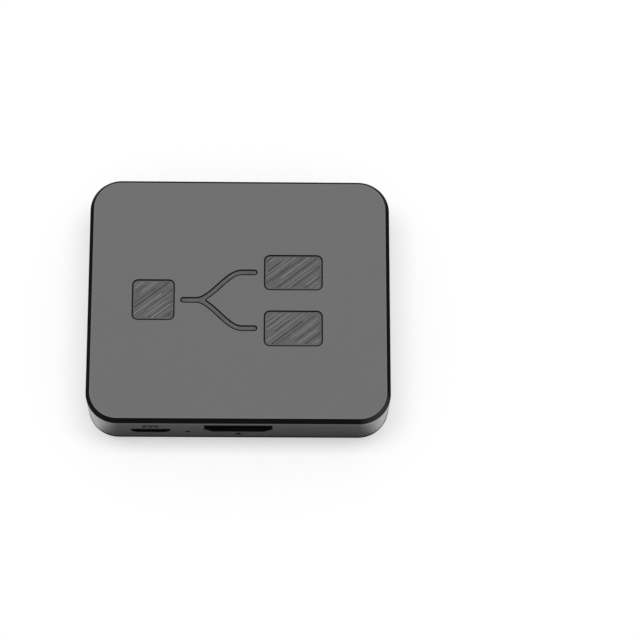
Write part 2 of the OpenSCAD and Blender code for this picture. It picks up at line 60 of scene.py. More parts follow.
caseShape = dict(
    width=caseHigh.x - caseLow.x,
    depth=caseHigh.y - caseLow.y,
    height=coverHigh.z,
    partHeight=caseHigh.z,
    cornerRadius=7.0 * mm,
    cornerSteps=24,
    wall=1.6 * mm,
    floor=1.2 * mm,
    boardTop=boardHigh.z,
    boardUnder=boardLow.z,
    lipGap=0.1 * mm,
    lipDepth=0.9 * mm,
)
fittings = dict(
    screwHead=1.9 * mm,  # radius
    videoMouth=4.55 * mm,  # height inside the shell
    videoSheet=0.3 * mm,
    powerMouth=1.9 * mm,
    powerSheet=0.25 * mm,
)
screwPlace = (screwHigh.x - fittings["screwHead"], screwHigh.y - fittings["screwHead"])
socketLevels = dict(  # middles of the mouths: half a mouth and the sheet below the shell's top
    video=inputHigh.z - fittings["videoMouth"] / 2 - fittings["videoSheet"],
    power=powerHigh.z - fittings["powerMouth"] / 2 - fittings["powerSheet"],
)


# Mesh building

meshShape = dict(
    mergeWithin=2e-7,  # points closer than this become one
    crease=math.radians(35),  # faces that meet at more than this keep a sharp edge
)


class Skin:  # gathers grids and flats into one closed mesh
    def __init__(self):
        self.points, self.faces, self.finish, self.spread = [], [], [], []
        self.count = 0

    def add(self, points, faces, finish, spread):  # spread is the area of the flat that the faces make up
        self.points.append(points)
        self.faces.extend((faces + self.count).tolist())
        self.finish.append(np.full(len(faces), finish))
        self.spread.append(np.full(len(faces), spread))
        self.count += len(points)

    # rows x columns of points joined by quads, round and round; keep picks quads by row and column
    def grid(self, rows, finish=0, flip=False, keep=None):
        count, columns = rows.shape[:2]
        i, j = np.meshgrid(np.arange(count - 1), np.arange(columns), indexing="ij")
        k = (j + 1) % columns
        quads = np.stack([i * columns + j, i * columns + k, (i + 1) * columns + k, (i + 1) * columns + j], -1)
        if flip:
            quads = quads[..., ::-1]
        keep = np.ones(i.shape, bool) if keep is None else keep
        self.add(rows.reshape(-1, 3), quads[keep], finish, 0)

    # the flat between closed loops, its triangles turned to face the given way
    def flat(self, loops, place, toward, finish=0):
        corners = np.concatenate(loops)
        ends = np.cumsum([len(loop) for loop in loops])
        follower = np.arange(len(corners)) + 1
        follower[ends - 1] = ends - [len(loop) for loop in loops]
        edges = np.stack([np.arange(len(corners)), follower], 1)
        found = delaunay_2d_cdt(list(map(Vector, corners / mm)), edges.tolist(), [], 0, 1e-6, False)
        spots = np.array([tuple(p) for p in found[0]]) * mm
        faces = np.array(found[2])
        middle = spots[faces].mean(1)
        a, b = corners, corners[follower]
        above = (a[:, 1] > middle[:, 1:]) != (b[:, 1] > middle[:, 1:])
        rise = np.where(a[:, 1] == b[:, 1], 1.0, b[:, 1] - a[:, 1])
        cross = a[:, 0] + (middle[:, 1:] - a[:, 1]) * (b[:, 0] - a[:, 0]) / rise
        inside = (above & (middle[:, :1] < cross)).sum(1) % 2 == 1  # odd number of edges to the right
        faces = faces[inside]
        points = place(spots)
        one, two, three = (points[faces[:, n]] for n in range(3))
        area = np.cross(two - one, three - one) @ np.asarray(toward, float) / 2
        faces[area < 0] = faces[area < 0][:, ::-1]
        self.add(points, faces, finish, np.abs(area).sum())

    def build(self, name, materials):
        mesh = bpy.data.meshes.new(name)
        mesh.from_pydata(np.concatenate(self.points), [], self.faces)
        mesh.polygons.foreach_set("material_index", np.concatenate(self.finish).astype(np.int32))
        spread = mesh.attributes.new("spread", "FLOAT", "FACE")
        spread.data.foreach_set("value", np.concatenate(self.spread) / mm ** 2)
        work = bmesh.new()
        work.from_mesh(mesh)
        bmesh.ops.remove_doubles(work, verts=work.verts, dist=meshShape["mergeWithin"])
        openEdges = sum(len(edge.link_faces) != 2 for edge in work.edges)
        work.to_mesh(mesh)
        work.free()
        mesh.polygons.foreach_set("use_smooth", np.ones(len(mesh.polygons), bool))
        mesh.normals_split_custom_set(steadyNormals(mesh))
        mesh.attributes.remove(mesh.attributes["spread"])
        for material in materials:
            mesh.materials.append(material)
        piece = bpy.data.objects.new(name, mesh)
        bpy.context.scene.collection.objects.link(piece)
        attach(piece, "root")
        print(name, len(mesh.polygons), "faces,", openEdges, "open edges")
        return piece


def readArray(items, key, width=1):  # one value, or a few, of each item as an array
    found = np.empty(len(items) * width)
    items.foreach_get(key, found)
    return found if width == 1 else found.reshape(-1, width)


# Normals at the faces' corners: the faces round a point that meet at less than the crease add up theirs,
# each times the square of its area or of its flat's whole area, so flats stay flat beside rounded edges
def steadyNormals(mesh):
    normal = readArray(mesh.polygons, "normal", 3)
    area = readArray(mesh.polygons, "area") / mm ** 2
    weight = np.maximum(area, readArray(mesh.attributes["spread"].data, "value")) ** 2
    point = readArray(mesh.loops, "vertex_index").astype(int)
    face = np.repeat(np.arange(len(mesh.polygons)), readArray(mesh.polygons, "loop_total").astype(int))
    order = np.argsort(point, kind="stable")  # corners point by point
    meeting = np.bincount(point)
    group = meeting[point[order]]
    start = np.repeat(np.cumsum(meeting) - meeting, meeting)
    one = np.repeat(np.arange(len(point)), group)  # every pair of corners at a point
    two = np.arange(len(one)) - np.repeat(np.cumsum(group) - group, group) + np.repeat(start, group)
    own, other = face[order[one]], face[order[two]]
    near = (normal[own] * normal[other]).sum(1) > math.cos(meshShape["crease"])
    total = np.zeros((len(point), 3))
    np.add.at(total, order[one[near]], normal[other[near]] * weight[other[near], None])
    return total / np.linalg.norm(total, axis=1, keepdims=True)


# closed outline, counter-clockwise: each corner becomes centre + radius * (cos, sin) over its turn
def roundedOutline(corners, radius, steps=6):
    corners = np.asarray(corners, float)
    before = np.roll(corners, 1, 0) - corners
    after = np.roll(corners, -1, 0) - corners
    before /= np.linalg.norm(before, axis=1, keepdims=True)
    after /= np.linalg.norm(after, axis=1, keepdims=True)
    half = np.arccos((before * after).sum(1)) / 2
    middle = before + after
    middle /= np.linalg.norm(middle, axis=1, keepdims=True)
    centre = corners + middle * (radius / np.sin(half))[:, None]
    start = np.arctan2(before[:, 0], -before[:, 1])  # the incoming edge's outward normal
    angle = start[:, None] + (np.pi - 2 * half)[:, None] * np.linspace(0, 1, steps + 1)
    normal = np.stack([np.cos(angle), np.sin(angle)], -1)
    return (centre[:, None] + radius * normal).reshape(-1, 2), normal.reshape(-1, 2)


def rectangle(width, height, centre=(0, 0)):
    return np.array([[1, 1], [-1, 1], [-1, -1], [1, -1]]) * [width / 2, height / 2] + centre


def circleOutline(radius, centre=(0, 0), steps=40):
    angle = np.arange(steps) * 2 * np.pi / steps
    normal = np.stack([np.cos(angle), np.sin(angle)], 1)
    return radius * normal + centre, normal


# open chain of points with each inner corner replaced by an arc of its radius
def roundedChain(points, radii, steps=4):
    points = np.asarray(points, float)
    made = [points[:1]]
    for before, corner, after, radius in zip(points[:-2], points[1:-1], points[2:], radii):
        if radius == 0:
            made.append(corner[None])
            continue
        u = (before - corner) / np.linalg.norm(before - corner)
        v = (after - corner) / np.linalg.norm(after - corner)
        half = math.acos(np.clip(u @ v, -1, 1)) / 2
        centre = corner + (u + v) / np.linalg.norm(u + v) * radius / math.sin(half)
        first = corner + u * radius / math.tan(half) - centre
        turn = -np.sign(u[0] * v[1] - u[1] * v[0]) * (math.pi - 2 * half)
        angle = math.atan2(first[1], first[0]) + turn * np.linspace(0, 1, steps + 1)
        made.append(centre + radius * np.stack([np.cos(angle), np.sin(angle)], 1))
    return np.concatenate(made + [points[-1:]])


# a profile of (offset, level) carried round an outline: outline + offset * normal, at that level
def carry(outline, normal, profile):
    profile = np.asarray(profile, float)
    flat = outline[None] + profile[:, :1, None] * normal[None]
    level = np.broadcast_to(profile[:, 1, None, None], flat.shape[:2] + (1,))
    return np.concatenate([flat, level], 2)


def atLevel(level):  # places flat points at a height
    return lambda spots: np.column_stack([spots, np.full(len(spots), level)])


def onWall(level, turned):  # places (x, z) points at a depth y, turned half round for the back wall
    sign = -1 if turned else 1
    return lambda spots: np.column_stack([sign * spots[:, 0], np.full(len(spots), sign * level), spots[:, 1]])


def wallRows(rows, turned):  # the same for carried rows of (x, z, y)
    sign = -1 if turned else 1
    return np.stack([sign * rows[..., 0], sign * rows[..., 2], rows[..., 1]], -1)


def caseOutline(steps):
    s = caseShape
    return roundedOutline(rectangle(s["width"], s["depth"]), s["cornerRadius"], steps)


# Shader building

class Wire:  # a shader value: arithmetic on it adds Math nodes
    def __init__(self, graph, socket):
        self.graph, self.socket = graph, socket

    def math(self, operation, *others):
        values = dict(enumerate((self,) + others))
        return self.graph.node("ShaderNodeMath", dict(operation=operation), values)

    def __add__(self, other):
        return self.math("ADD", other)

    def __sub__(self, other):
        return self.math("SUBTRACT", other)

    def __rsub__(self, other):
        return self * -1 + other

    def __mul__(self, other):
        return self.math("MULTIPLY", other)

    __radd__, __rmul__ = __add__, __mul__

    def __truediv__(self, other):
        return self.math("DIVIDE", other)

    def __pow__(self, other):
        return self.math("POWER", other)

    def __abs__(self):
        return self.math("ABSOLUTE")

    def above(self, low):
        return self.math("MAXIMUM", low)

    def below(self, high):
        return self.math("MINIMUM", high)

    def smooth(self, low, high):  # 0 under low, 1 over high, eased between
        sockets = {"Value": self, "From Min": low, "From Max": high}
        return self.graph.node("ShaderNodeMapRange", dict(interpolation_type="SMOOTHSTEP"), sockets)


class Graph:  # the nodes of one material or of the surround
    def __init__(self, owner):
        owner.use_nodes = True
        self.tree = owner.node_tree
        self.tree.nodes.clear()

    # a node of that type: its settings first, then the value or link of each socket; gives one of its outputs
    def node(self, kind, settings=None, sockets=None, output=0):
        made = self.tree.nodes.new(kind)
        for key, value in (settings or {}).items():
            setattr(made, key, value)
        for key, value in (sockets or {}).items():
            socket = made.inputs[key]
            if isinstance(value, Wire):
                self.tree.links.new(value.socket, socket)
            elif socket.type == "RGBA":
                socket.default_value = (*value, 1)
            else:
                socket.default_value = value
        return Wire(self, made.outputs[output]) if made.outputs else None

    def blend(self, amount, one, two):  # from one colour to two
        return self.node("ShaderNodeMix", dict(data_type="RGBA"), {"Factor": amount, 6: one, 7: two}, 2)

    def seen(self):  # 1 where the camera looks, straight on, off a polished surface or through a clear one
        names = ("Is Camera Ray", "Is Glossy Ray", "Is Transmission Ray")
        straight, mirrored, through = (self.node("ShaderNodeLightPath", output=name) for name in names)
        return straight.above(mirrored).above(through)


class Finish(Graph):  # one material, patterned by its place on the piece
    def __init__(self, name):
        self.material = bpy.data.materials.new(name)
        super().__init__(self.material)
        self.place = self.node("ShaderNodeTexCoord", output="Object")
        parts = (self.node("ShaderNodeSeparateXYZ", {}, {0: self.place}, n) for n in range(3))
        self.x, self.y, self.z = parts

    def stretched(self, scale):  # Object coordinates times a scale along each axis
        return self.node("ShaderNodeMapping", {}, {"Vector": self.place, "Scale": scale})

    def noise(self, size, detail=2.0, rough=0.5, vector=None):  # clouds about that many metres across
        sockets = {"Vector": vector or self.place, "Scale": 1 / size, "Detail": detail, "Roughness": rough}
        return self.node("ShaderNodeTexNoise", {}, sockets)

    def cells(self, size):  # distance from the middle of each cell, in cells
        return self.node("ShaderNodeTexVoronoi", {}, {"Vector": self.place, "Scale": 1 / size})

    def bump(self, height, depth, strength=1.0):
        return self.node("ShaderNodeBump", {}, {"Height": height, "Distance": depth, "Strength": strength})

    def surface(self, **values):
        sockets = {spaced(key): value for key, value in values.items()}
        shader = self.node("ShaderNodeBsdfPrincipled", {}, sockets)
        self.node("ShaderNodeOutputMaterial", {}, {"Surface": shader})
        return self.material


def spaced(key):  # baseColor becomes Base Color
    words = "".join(" " + letter if letter.isupper() else letter for letter in key)
    return (words[0].upper() + words[1:]).replace("I O R", "IOR")


def scaled(colour, factor):
    return tuple(factor * part for part in colour)


# Distance from the case's outline, negative inside: the rounded rectangle's own formula
def outlineDistance(f):
    s = caseShape
    qx = abs(f.x) - (s["width"] / 2 - s["cornerRadius"])
    qy = abs(f.y) - (s["depth"] / 2 - s["cornerRadius"])
    corner = (qx.above(0) ** 2 + qy.above(0) ** 2) ** 0.5
    return corner + qx.math("MAXIMUM", qy).below(0) - s["cornerRadius"]


# 0 along the straight sides, 1 in the middle of each round corner: the sine of twice the turn
def cornerShare(f):
    s = caseShape
    qx = (abs(f.x) - (s["width"] / 2 - s["cornerRadius"])).above(0)
    qy = (abs(f.y) - (s["depth"] / 2 - s["cornerRadius"])).above(0)
    return (qx * qy * 2 / (qx ** 2 + qy ** 2).above(1e-9)).below(1)


# Finishes of the case

greyLook = dict(
    grain=0.16 * mm,
    pit=0.3 * mm,
    cloud=14 * mm,
    wearRun=0.45 * mm,
    wearAndHighlightPatch=2.5 * mm,
    drawn=0.22 * mm,
    drawnStretch=0.06,
    specular=0.2,
)


def matteGrey(name, tone, wearAndHighlight=0.0):  # fine eroded grain, faint cloudiness, and a paler line along the bevel that is partly rubbed wear, partly painted highlight
    f, k = Finish(name), greyLook
    grain = f.noise(k["grain"], 3, 0.6)
    pits = f.cells(k["pit"])
    cloud = f.noise(k["cloud"], 3)
    shade = (cloud - 0.5) * 0.05 + (grain - 0.5) * 0.3 + (pits - 0.4) * 0.15 + 1
    colour = f.blend(shade - 0.5, (0.9 * tone,) * 3, (1.1 * tone,) * 3)
    if wearAndHighlight:
        # partly rubbed wear, partly painted highlight: the top face turns paler along the bevel
        edge = (outlineDistance(f) + coverShape["bevelRun"]).smooth(-k["wearRun"], 0.0)
        edgeHighlight = edge * (f.noise(k["wearAndHighlightPatch"], 4).smooth(0.5, 0.8) * 0.6 + 0.6) * wearAndHighlight
        colour = f.blend(edgeHighlight, colour, (1.5 * tone,) * 3)
    rough = (grain - 0.5) * 0.16 + (cloud - 0.5) * 0.08 + 0.62
    return f.surface(baseColor=colour, roughness=rough, specularIORLevel=k["specular"],
                     normal=f.bump(grain + pits * 0.6, 0.03 * mm, 0.8))


def streakedGrey(name, tone):  # the marks' floors: fine drawn lines along the streaks over the same grain
    f, k = Finish(name), greyLook
    turn = math.radians(streakShape["turn"])
    along = f.x * math.cos(turn) + f.y * math.sin(turn)
    across = f.y * math.cos(turn) - f.x * math.sin(turn)
    lines = f.node("ShaderNodeCombineXYZ", {}, {0: along * k["drawnStretch"], 1: across})
    drawn = f.noise(k["drawn"], 3, 0.7, lines)
    grain = f.noise(k["grain"], 3, 0.6)
    shade = (drawn - 0.5) * 3.2 + (grain - 0.5) * 0.3 + 0.5
    colour = f.blend(shade.above(0).below(1), (0.7 * tone,) * 3, (1.35 * tone,) * 3)
    rough = (drawn - 0.5) * 0.3 + 0.6
    return f.surface(baseColor=colour, roughness=rough, specularIORLevel=k["specular"],
                     normal=f.bump(drawn + grain * 0.3, 0.05 * mm, 0.8))


bevelLook = dict(
    black=(0.007, 0.0068, 0.0078),
    dusty=(0.03, 0.03, 0.032),
    hair=0.9 * mm,
    dust=0.35 * mm,
    cloud=9 * mm,
    buffed=(25 * mm, 52 * mm),  # from where to where, along X less Y, the painted sheen gets stronger
)


def polishedBlack(name):  # tooled smooth, with hair scratches and a little dust; the coat's gloss is painted sheen on the corners, most on the front right
    f, k = Finish(name), bevelLook
    hair = f.noise(k["hair"], 3, 0.6, f.stretched((0.12, 1.0, 6.0)))
    dust = f.noise(k["dust"], 1).smooth(0.72, 0.82)
    cloud = f.noise(k["cloud"], 2)
    colour = f.blend(dust * 0.25, k["black"], k["dusty"])
    rough = hair * 0.08 + cloud * 0.06 + dust * 0.2 + 0.08
    buffed = (f.x - f.y).smooth(*k["buffed"])  # painted sheen, most on the front right corner
    # painted sheen: the coat's weight rises on the round corners and towards the front right
    gloss = (cornerShare(f) ** 0.8 * (buffed * 0.43 + 0.05) + 0.022) * (hair * 0.5 + 0.75)
    return f.surface(baseColor=colour, roughness=rough, iOR=1.01, coatWeight=gloss, coatRoughness=0.12,
                     normal=f.bump(hair, 0.002 * mm, 0.3))


satinLook = dict(
    low=(0.0057, 0.0047, 0.005),
    high=(0.0355, 0.0295, 0.0315),
    # pale colour of the painted highlight along the rim
    worn=(0.08, 0.076, 0.078),
    grain=0.22 * mm,
    flow=3.0 * mm,
    rim=(-1.1 * mm, -0.1 * mm),  # where the painted rim highlight lies, from the parting line
    rimPatch=1.6 * mm,
)


def satinBlack(name):  # moulded black with a soft sheen and fine flow marks; painted shade darkens it towards the bottom, a painted highlight runs along the rim and painted sheen lies on the corners
    f, k = Finish(name), satinLook
    grain = f.noise(k["grain"], 3, 0.6)
    flow = f.noise(k["flow"], 3, 0.55, f.stretched((0.3, 0.3, 1.2)))
    edge = (f.z - caseShape["partHeight"]).smooth(*k["rim"])
    # painted highlight: a paler, glossier band along the rim
    edgeHighlight = edge * (f.noise(k["rimPatch"], 4).smooth(0.4, 0.8) * 0.25 + 0.6)
    # painted shade: the wall's colour and gloss are darker towards the bottom
    litWithHeight = (f.z / caseShape["partHeight"]).above(0).below(1)
    colour = f.blend(litWithHeight + (flow - 0.5) * 0.25, k["low"], k["high"])
    colour = f.blend(edgeHighlight * 0.5, colour, k["worn"])
    rough = (grain - 0.5) * 0.1 + (flow - 0.5) * 0.08 + 0.3
    corner = cornerShare(f)
    worn = corner * litWithHeight ** ((1 - corner) * 2.5)  # painted sheen: the corners shine, least low down towards the flats
    gloss = (worn * 0.9 + litWithHeight * 0.1 + edgeHighlight * 0.17 + 0.09) * (flow * 0.3 + 0.85)
    return f.surface(baseColor=colour, roughness=rough, iOR=1.05, coatWeight=gloss.below(1),
                     coatRoughness=0.2, normal=f.bump(grain, 0.006 * mm, 0.4))


shadeAndSignLook = dict(dark=(0.005, 0.005, 0.0055), pale=(0.017, 0.0165, 0.0175), grain=0.2 * mm, drift=3 * mm)


def shadedBlack(name):  # dull black of the foot band, the cut-outs' insides and the signs; on the foot band and in the cut-outs it is painted shade
    f, k = Finish(name), shadeAndSignLook
    grain = f.noise(k["grain"], 3, 0.65)
    drift = f.noise(k["drift"], 2)
    colour = f.blend(grain * 0.6 + drift * 0.4, k["dark"], k["pale"])
    rough = (grain - 0.5) * 0.2 + 0.62
    return f.surface(baseColor=colour, roughness=rough, iOR=1.02, normal=f.bump(grain, 0.012 * mm, 0.5))


undersideLook = dict(
    dark=(0.011, 0.011, 0.0115),
    pale=(0.042, 0.041, 0.042),
    grain=0.3 * mm,
    pit=0.45 * mm,
    scuff=6 * mm,
    slid=0.8 * mm,
)


def erodedBlack(name):  # the underside's coarse texture, rubbed paler where it has slid on a desk
    f, k = Finish(name), undersideLook
    grain = f.noise(k["grain"], 3, 0.65)
    pits = f.cells(k["pit"])
    scuff = f.noise(k["scuff"], 4).smooth(0.5, 0.75)
    slid = f.noise(k["slid"], 3, 0.6, f.stretched((0.12, 1.6, 1.0))).smooth(0.6, 0.72) * scuff
    colour = f.blend(grain * 0.5 + pits * 0.3 + slid * 0.5, k["dark"], k["pale"])
    rough = (grain - 0.5) * 0.24 + 0.6 - slid * 0.15
    return f.surface(baseColor=colour, roughness=rough, iOR=1.4,
                     normal=f.bump(grain + pits * 0.6, 0.03 * mm, 0.7))


# Finishes of the sockets, the board and what it carries

sheetLook = dict(
    rolling=0.5 * mm,
    rollingStretch=(6.0, 0.35, 6.0),
    rollingDepth=0.003 * mm,
    rub=1.8 * mm,
    rubbedTone=0.78,
)


def platedSheet(name, tone, rough):  # nickel on stamped sheet: rolling lines and small rubs
    f, k = Finish(name), sheetLook
    rolled = f.noise(k["rolling"], 4, 0.6, f.stretched(k["rollingStretch"]))
    rub = f.noise(k["rub"], 3).smooth(0.55, 0.75)
    colour = f.blend(rub * 0.6, tone, scaled(tone, k["rubbedTone"]))
    return f.surface(baseColor=colour, metallic=1.0, roughness=rolled * 0.16 + rub * 0.1 + rough,
                     normal=f.bump(rolled, k["rollingDepth"], 0.35))


filledLook = dict(
    fleck=0.12 * mm,
    fleckTone=(0.09, 0.09, 0.088),
    grain=0.3 * mm,
    grainDepth=0.008 * mm,
)


def mouldedBlack(name, tone, fleck):  # filled plastic: tiny pale flecks on black
    f, k = Finish(name), filledLook
    speck = f.cells(k["fleck"]).smooth(0.14, 0.05)
    grain = f.noise(k["grain"], 3)
    colour = f.blend(speck * fleck + (grain - 0.5) * 0.1, (tone, tone, tone * 1.03), k["fleckTone"])
    return f.surface(baseColor=colour, roughness=(grain - 0.5) * 0.2 + 0.52, specularIORLevel=0.4,
                     normal=f.bump(grain, k["grainDepth"], 0.4))


goldLook = dict(
    bright=(0.86, 0.6, 0.2),
    dull=(0.7, 0.46, 0.15),
    rolling=0.4 * mm,
    rollingStretch=(1.0, 0.3, 1.0),
)


def goldFlash(name):  # thin gold, duller where it was rolled
    f, k = Finish(name), goldLook
    dull = f.noise(k["rolling"], 3, 0.6, f.stretched(k["rollingStretch"]))
    colour = f.blend(dull, k["bright"], k["dull"])
    return f.surface(baseColor=colour, metallic=1.0, roughness=dull * 0.14 + 0.2)


maskLook = dict(
    bare=(0.008, 0.06, 0.028),
    overCopper=(0.02, 0.15, 0.06),
    copperStep=0.02 * mm,
    weavePitch=0.45 * mm,
    lanePitch=1.1 * mm,
    laneDrift=7 * mm,
    pourSize=6 * mm,
    cloud=2 * mm,
)


def solderMask(name):  # green lacquer over glass weave, with copper runs showing paler
    f, k = Finish(name), maskLook
    weaveTurn, laneTurn = np.pi / k["weavePitch"], np.pi / k["lanePitch"]
    weave = abs((f.x * weaveTurn).math("SINE")) * abs((f.y * weaveTurn).math("SINE"))
    lane = abs((f.x * laneTurn + f.noise(k["laneDrift"], 0) * 9).math("SINE")).smooth(0.8, 0.9)
    pour = f.noise(k["pourSize"], 1).smooth(0.48, 0.5)
    copper = (lane + pour * 0.6).below(1)
    colour = f.blend(copper * 0.7, k["bare"], k["overCopper"])
    return f.surface(baseColor=colour, roughness=(f.noise(k["cloud"]) - 0.5) * 0.1 + 0.3,
                     normal=f.bump(weave * 0.3 + copper, k["copperStep"], 0.4))


firedLook = dict(grain=0.15 * mm, grainDepth=0.01 * mm)


def firedCeramic(name, tone):  # sintered grain, a little lighter and darker than its tone
    f, k = Finish(name), firedLook
    grain = f.noise(k["grain"], 3, 0.6)
    colour = f.blend(grain, scaled(tone, 0.8), scaled(tone, 1.2))
    rough = (grain - 0.5) * 0.2 + 0.55
    return f.surface(baseColor=colour, roughness=rough, normal=f.bump(grain, k["grainDepth"], 0.4))


resinLook = dict(haze=0.3 * mm)


def clearResin(name, tone):  # cast resin with a faint haze
    f = Finish(name)
    haze = f.noise(resinLook["haze"], 2)
    colour = f.blend(haze, tone, scaled(tone, 0.9))
    return f.surface(baseColor=colour, roughness=haze * 0.1 + 0.12, transmissionWeight=0.35)


# Marks sunk in the top face: one block that feeds two, all streaked plates

markShape = dict(
    depth=0.2 * mm,
    wallRun=0.26 * mm,
    lip=0.05 * mm,
    sourceSize=(9.4 * mm, 9.4 * mm),
    sourceCentre=(-19.0 * mm, -0.2 * mm),
    sinkSize=(13.0 * mm, 8.2 * mm),
    sinkCentres=((12.0 * mm, 6.3 * mm), (12.0 * mm, -6.7 * mm)),
    plateRadius=1.3 * mm,
    forkStart=-12.4 * mm,
    forkEnd=3.4 * mm,
    forkHalfWidth=0.62 * mm,
    forkBend=(0.18, 0.82),  # shares of its length where the strokes begin and end to bend
    forkTip=0.05 * mm,
)
streakShape = dict(
    turn=38,  # degrees from the X axis
    pitch=0.64 * mm,
    width=0.21 * mm,
    slope=0.04 * mm,
    rise=0.07 * mm,
    margin=0.12 * mm,  # clear of the plate's wall
    shortest=0.9 * mm,
)


# The forked groove: two strokes along middle +- rise * smoothstep(t), joined where they leave the stem
def forkOutline(steps=60):
    m = markShape
    middle = m["sourceCentre"][1]
    rise = (m["sinkCentres"][0][1] - m["sinkCentres"][1][1]) / 2
    half = m["forkHalfWidth"]
    t = np.linspace(0, 1, steps)
    begin, end = m["forkBend"]
    ease = np.clip((t - begin) / (end - begin), 0, 1)
    x = m["forkStart"] + t * (m["forkEnd"] - m["forkStart"])
    y = rise * ease * ease * (3 - 2 * ease)
    slope = np.gradient(y, x)
    along = np.stack([np.ones(steps), slope], 1) / np.hypot(1, slope)[:, None]
    across = np.stack([-along[:, 1], along[:, 0]], 1)
    line = np.stack([x, y], 1)
    upper, lower = line + half * across, line - half * across
    cap = np.linspace(np.pi / 2, -np.pi / 2, 13)[1:-1]
    rightCap = line[-1] + half * np.stack([np.cos(cap), np.sin(cap)], 1)
    leftCap = line[0] + half * np.stack([-np.cos(cap), np.sin(cap)], 1)
    inner = lower[lower[:, 1] > 0][::-1]  # the part that has left the stem
    tip = inner[-1] * [1, 0] - [m["forkTip"], 0]
    top = np.concatenate([upper, rightCap, inner])
    loop = np.concatenate([top, tip[None], (top * [1, -1])[::-1], leftCap[::-1]])[::-1] + [0, middle]
    ahead = np.roll(loop, -1, 0) - np.roll(loop, 1, 0)
    ahead /= np.linalg.norm(ahead, axis=1, keepdims=True)
    return loop, np.stack([ahead[:, 1], -ahead[:, 0]], 1)


# Streaks on a plate's floor: outlines with a rise or fall each. Bars lie a pitch apart, give or take a
# quarter of sin 2.1 n, and are cut where the rounded rectangle's distance formula says. Sines of n give
# their width, ends and rise
def streakBars(size, centre, start):
    m, k = markShape, streakShape
    turn = math.radians(k["turn"])
    axes = np.array([[math.cos(turn), math.sin(turn)], [-math.sin(turn), math.cos(turn)]])
    count = np.arange(-30, 31)
    n = count + start
    offset = (count + 0.25 * np.sin(2.1 * n)) * k["pitch"]
    width = (1 + 0.4 * np.sin(3.7 * n + 1)) * k["width"]
    rise = np.where(np.sin(1.9 * n) > -0.3, k["rise"], -k["rise"])
    along = np.linspace(-1, 1, 1601) * max(size)
    edges = offset[:, None] + width[:, None] * [-0.5, 0.5]
    spots = edges[:, :, None, None] * axes[1] + along[:, None] * axes[0]
    q = np.abs(spots) - (np.array(size) / 2 - m["plateRadius"])
    away = np.hypot(q[..., 0].clip(0), q[..., 1].clip(0)) + q.max(-1).clip(max=0) - m["plateRadius"]
    inside = (away < -(m["wallRun"] + k["margin"])).all(1)
    bars = []
    for i in np.flatnonzero(inside.any(1)):
        low, high = along[inside[i]][[0, -1]]
        room = high - low
        low += 0.3 * room * max(0, math.sin(5.3 * n[i]))
        high -= 0.3 * room * max(0, math.sin(4.1 * n[i] + 2))
        if high - low > k["shortest"]:
            corners = rectangle(high - low, width[i], ((low + high) / 2, offset[i])) @ axes + centre
            bars.append((roundedOutline(corners, 0.45 * width[i], 3), rise[i]))
    return bars


def sunkMarks():  # (outline, streaks on its floor) of each mark
    m = markShape
    plates = [(m["sourceSize"], m["sourceCentre"])] + [(m["sinkSize"], spot) for spot in m["sinkCentres"]]
    made = [(forkOutline(), [])]
    for index, (size, spot) in enumerate(plates):
        outline = roundedOutline(rectangle(*size, spot), m["plateRadius"], 8)
        made.append((outline, streakBars(size, spot, 23 * index)))
    return made


# The cover: bevelled rim, lip, bosses, and the sunk marks

coverShape = dict(
    bevelRun=0.85 * mm,
    topEdge=0.06 * mm,
    lowEdge=0.06 * mm,
    lipEdge=0.15 * mm,
    plateThickness=1.6 * mm,
    bossRadius=2.8 * mm,
    pilotRadius=0.75 * mm,
    pilotTop=9.1 * mm,
)
coverTones = dict(top=0.131, topWear=0.5, markFloor=0.09, streakLit=0.18, streakShaded=0.05)


def screwSpots():
    return [(x * screwPlace[0], y * screwPlace[1]) for x in (-1, 1) for y in (-1, 1)]


# wall, floor and streaks of one mark; gives the loop that is cut from the top
def sinkMark(skin, outline, streaks, top):
    m, k = markShape, streakShape
    floorLevel = top - m["depth"]
    arc = np.linspace(0, np.pi / 2, 4)
    lip = np.stack([m["lip"] * (1 - np.sin(arc)), top - m["lip"] * (1 - np.cos(arc))], 1)
    wall = carry(*outline, np.concatenate([lip, [[-m["wallRun"], floorLevel]]]))
    # the mark's walls take the bevel's black: painted shade, a dark outline round each mark
    skin.grid(wall, 1)
    loops = [wall[-1][:, :2]]
    for shape, rise in streaks:
        # painted light and shade: raised streaks take a pale grey, sunk ones a dark grey
        finish = 3 if rise > 0 else 4
        bar = carry(*shape, [(0, floorLevel), (-k["slope"], floorLevel + rise)])
        skin.grid(bar, finish)
        skin.flat([bar[-1][:, :2]], atLevel(floorLevel + rise), (0, 0, 1), finish)
        loops.append(bar[0][:, :2])
    skin.flat(loops, atLevel(floorLevel), (0, 0, 1), 2)
    return wall[0][:, :2]


